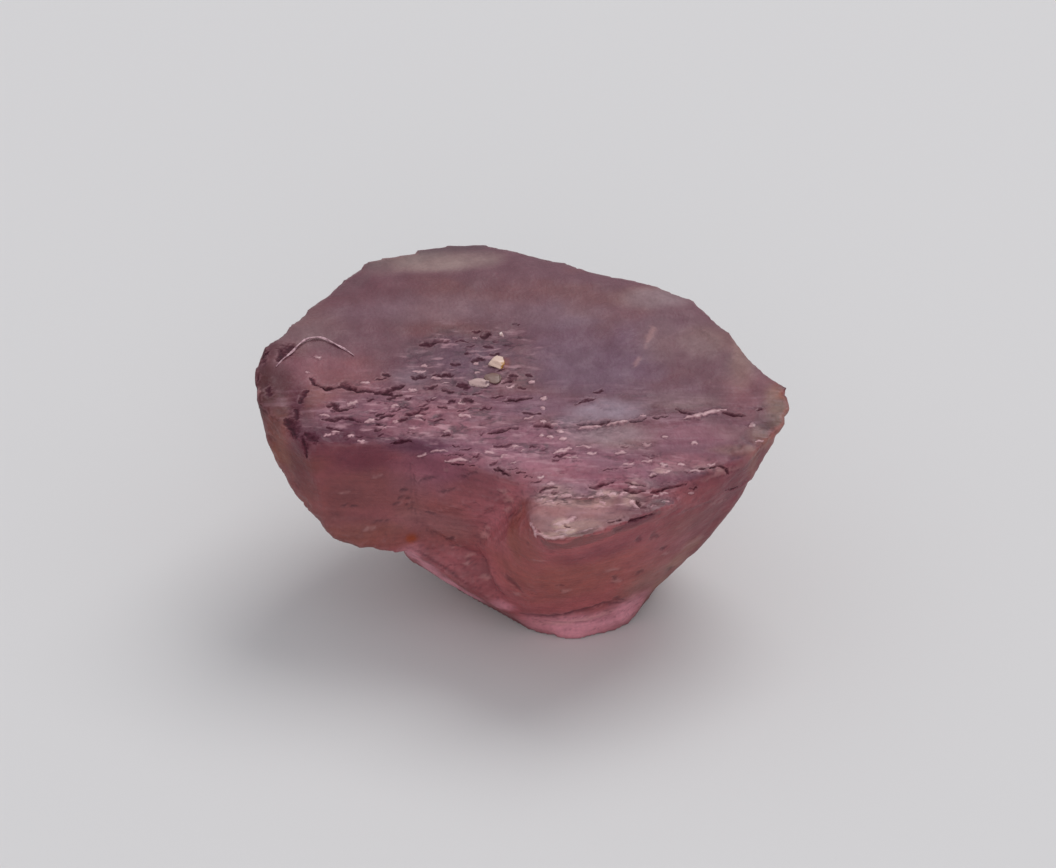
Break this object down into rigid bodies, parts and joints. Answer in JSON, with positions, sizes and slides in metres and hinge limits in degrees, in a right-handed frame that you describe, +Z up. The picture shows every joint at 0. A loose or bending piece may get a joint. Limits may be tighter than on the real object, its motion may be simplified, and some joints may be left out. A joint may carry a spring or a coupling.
{
  "type": "rough sapphire",
  "caption": "Rough, water-worn sapphire crystal fragment: a broad parting face on a tapering, broken body, resting on a small flat facet.",
  "frame": {"origin": "middle of the bounding box's footprint, on the surface that the stone rests on", "axes": "+X along the longest side, towards the pointed right tip; +Y to the back; +Z up, out of the broad parting face"},
  "size_m": [0.007, 0.0056, 0.0037],
  "materials": {
    "sapphire": "satin",
    "lint": "matte",
    "grain": "satin"
  },
  "bodies": {
    "root": {"rough_sapphire": "sapphire"}
  },
  "joints": []
}
